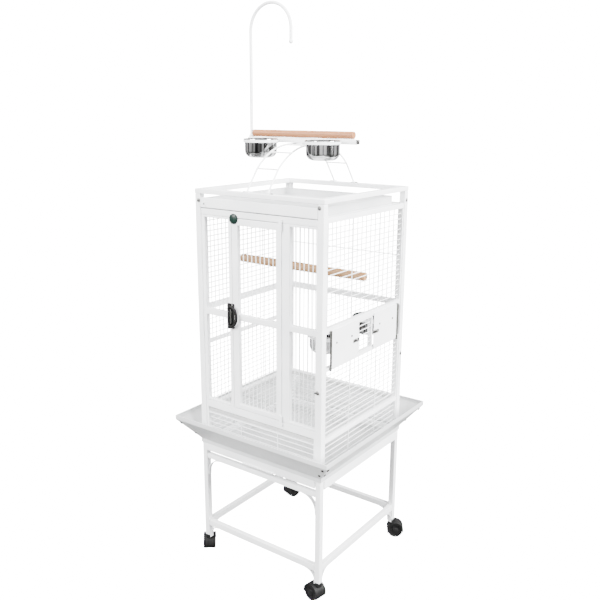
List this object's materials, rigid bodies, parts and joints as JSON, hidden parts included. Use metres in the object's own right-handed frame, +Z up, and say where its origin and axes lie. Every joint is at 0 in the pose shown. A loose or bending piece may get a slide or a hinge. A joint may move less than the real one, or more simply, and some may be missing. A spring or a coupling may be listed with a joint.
{
  "type": "bird cage on stand",
  "caption": "Play-top bird cage on a caster stand, with a hinged front door, swing-out feeders, slide-out trays and grate, seed skirt, ladder, top perch and toy hook.",
  "frame": {"origin": "on the floor, below the middle of the cage", "axes": "+Z up; -Y is the front, with the door; +X is the side with the feeder doors"},
  "size_m": [0.5728, 0.5728, 1.7217],
  "materials": {
    "white_coat": "satin off-white powder coat",
    "stainless": "bright polished stainless steel",
    "perch_wood": "sanded hardwood dowel",
    "play_wood": "pale sanded dowel",
    "black_plastic": "moulded black plastic",
    "caster_tread": "moulded black nylon",
    "badge": "glossy dark green disc"
  },
  "bodies": {
    "cage": {"leg_front_left": "white_coat", "leg_front_right": "white_coat", "leg_back_right": "white_coat", "leg_back_left": "white_coat", "stand_lower_rail_front": "white_coat", "stand_lower_rail_right": "white_coat", "stand_lower_rail_back": "white_coat", "stand_lower_rail_left": "white_coat", "stand_upper_rail_front": "white_coat", "base_frame": "white_coat", "skirt_front": "white_coat", "skirt_right": "white_coat", "skirt_back": "white_coat", "skirt_left": "white_coat", "post_front_left": "white_coat", "post_front_right": "white_coat", "post_back_right": "white_coat", "post_back_left": "white_coat", "top_frame": "white_coat", "front_apron": "white_coat", "front_lintel": "white_coat", "front_grille_left": "white_coat", "front_grille_right": "white_coat", "left_grille": "white_coat", "back_grille": "white_coat", "right_grille_lower": "white_coat", "right_grille_upper": "white_coat", "feeder_divider": "white_coat", "roof_grille": "white_coat", "inner_perch": "perch_wood", "play_ladder": "white_coat", "play_bar": "white_coat", "top_perch": "play_wood", "top_cup_ring_left": "white_coat", "top_cup_ring_right": "white_coat", "toy_hook": "white_coat"},
    "door": {"door": "white_coat", "door_latch_plate": "black_plastic", "door_badge": "badge"},
    "door_latch": {"door_latch_lever": "black_plastic"},
    "feeder_door_front": {"feeder_door_front": "white_coat"},
    "feeder_latch_front": {"feeder_latch_front": "stainless"},
    "feeder_cup_front": {"feeder_cup_front": "stainless"},
    "feeder_door_back": {"feeder_door_back": "white_coat"},
    "feeder_latch_back": {"feeder_latch_back": "stainless"},
    "feeder_cup_back": {"feeder_cup_back": "stainless"},
    "top_cup_left": {"top_cup_left": "stainless"},
    "top_cup_right": {"top_cup_right": "stainless"},
    "floor_grate": {"floor_grate": "white_coat"},
    "litter_tray": {"litter_tray": "white_coat"},
    "top_tray": {"top_tray": "white_coat"},
    "caster_front_left": {"caster_housing_front_left": "black_plastic"},
    "wheels_front_left": {"caster_wheels_front_left": "caster_tread"},
    "caster_front_right": {"caster_housing_front_right": "black_plastic"},
    "wheels_front_right": {"caster_wheels_front_right": "caster_tread"},
    "caster_back_right": {"caster_housing_back_right": "black_plastic"},
    "wheels_back_right": {"caster_wheels_back_right": "caster_tread"},
    "caster_back_left": {"caster_housing_back_left": "black_plastic"},
    "wheels_back_left": {"caster_wheels_back_left": "caster_tread"}
  },
  "joints": [
    {"name": "door_hinge", "type": "hinge", "parent": "cage", "child": "door", "pos_m": [0.08825, -0.2312, 0.829], "axis": [0, 0, 1], "range_deg": [0, 160]},
    {"name": "door_latch_turn", "type": "hinge", "parent": "door", "child": "door_latch", "pos_m": [-0.098, -0.236, 0.828], "axis": [0, 0, -1], "range_deg": [0, 35]},
    {"name": "feeder_door_front_hinge", "type": "hinge", "parent": "cage", "child": "feeder_door_front", "pos_m": [0.2294, -0.187, 0.7685], "axis": [0, 0, -1], "range_deg": [0, 110]},
    {"name": "feeder_latch_front_turn", "type": "hinge", "parent": "feeder_door_front", "child": "feeder_latch_front", "pos_m": [0.23, -0.056, 0.772], "axis": [1, 0, 0], "range_deg": [0, 90]},
    {"name": "feeder_cup_front_lift", "type": "slide", "parent": "feeder_door_front", "child": "feeder_cup_front", "axis": [0, 0, 1], "range_m": [0, 0.055]},
    {"name": "feeder_door_back_hinge", "type": "hinge", "parent": "cage", "child": "feeder_door_back", "pos_m": [0.2294, 0.187, 0.7685], "axis": [0, 0, 1], "range_deg": [0, 110]},
    {"name": "feeder_latch_back_turn", "type": "hinge", "parent": "feeder_door_back", "child": "feeder_latch_back", "pos_m": [0.23, 0.056, 0.772], "axis": [1, 0, 0], "range_deg": [0, 90]},
    {"name": "feeder_cup_back_lift", "type": "slide", "parent": "feeder_door_back", "child": "feeder_cup_back", "axis": [0, 0, 1], "range_m": [0, 0.055]},
    {"name": "top_cup_left_lift", "type": "slide", "parent": "cage", "child": "top_cup_left", "axis": [0, 0, 1], "range_m": [0, 0.06]},
    {"name": "top_cup_right_lift", "type": "slide", "parent": "cage", "child": "top_cup_right", "axis": [0, 0, 1], "range_m": [0, 0.06]},
    {"name": "floor_grate_slide", "type": "slide", "parent": "cage", "child": "floor_grate", "axis": [0, -1, 0], "range_m": [0, 0.38]},
    {"name": "litter_tray_slide", "type": "slide", "parent": "cage", "child": "litter_tray", "axis": [0, -1, 0], "range_m": [0, 0.38]},
    {"name": "top_tray_slide", "type": "slide", "parent": "cage", "child": "top_tray", "axis": [0, -1, 0], "range_m": [0, 0.34]},
    {"name": "caster_front_left_swivel", "type": "hinge", "parent": "cage", "child": "caster_front_left", "pos_m": [-0.2186, -0.2186, 0.055], "axis": [0, 0, 1], "continuous": true},
    {"name": "wheels_front_left_roll", "type": "hinge", "parent": "caster_front_left", "child": "wheels_front_left", "pos_m": [-0.22824, -0.20711, 0.025], "axis": [-0.766, -0.6428, 0], "continuous": true},
    {"name": "caster_front_right_swivel", "type": "hinge", "parent": "cage", "child": "caster_front_right", "pos_m": [0.2186, -0.2186, 0.055], "axis": [0, 0, 1], "continuous": true},
    {"name": "wheels_front_right_roll", "type": "hinge", "parent": "caster_front_right", "child": "wheels_front_right", "pos_m": [0.20383, -0.21599, 0.025], "axis": [-0.1736, -0.9848, 0], "continuous": true},
    {"name": "caster_back_right_swivel", "type": "hinge", "parent": "cage", "child": "caster_back_right", "pos_m": [0.2186, 0.2186, 0.055], "axis": [0, 0, 1], "continuous": true},
    {"name": "wheels_back_right_roll", "type": "hinge", "parent": "caster_back_right", "child": "wheels_back_right", "pos_m": [0.23132, 0.22655, 0.025], "axis": [-0.5299, 0.848, 0], "continuous": true},
    {"name": "caster_back_left_swivel", "type": "hinge", "parent": "cage", "child": "caster_back_left", "pos_m": [-0.2186, 0.2186, 0.055], "axis": [0, 0, 1], "continuous": true},
    {"name": "wheels_back_left_roll", "type": "hinge", "parent": "caster_back_left", "child": "wheels_back_left", "pos_m": [-0.21347, 0.2327, 0.025], "axis": [-0.9397, 0.342, 0], "continuous": true}
  ]
}
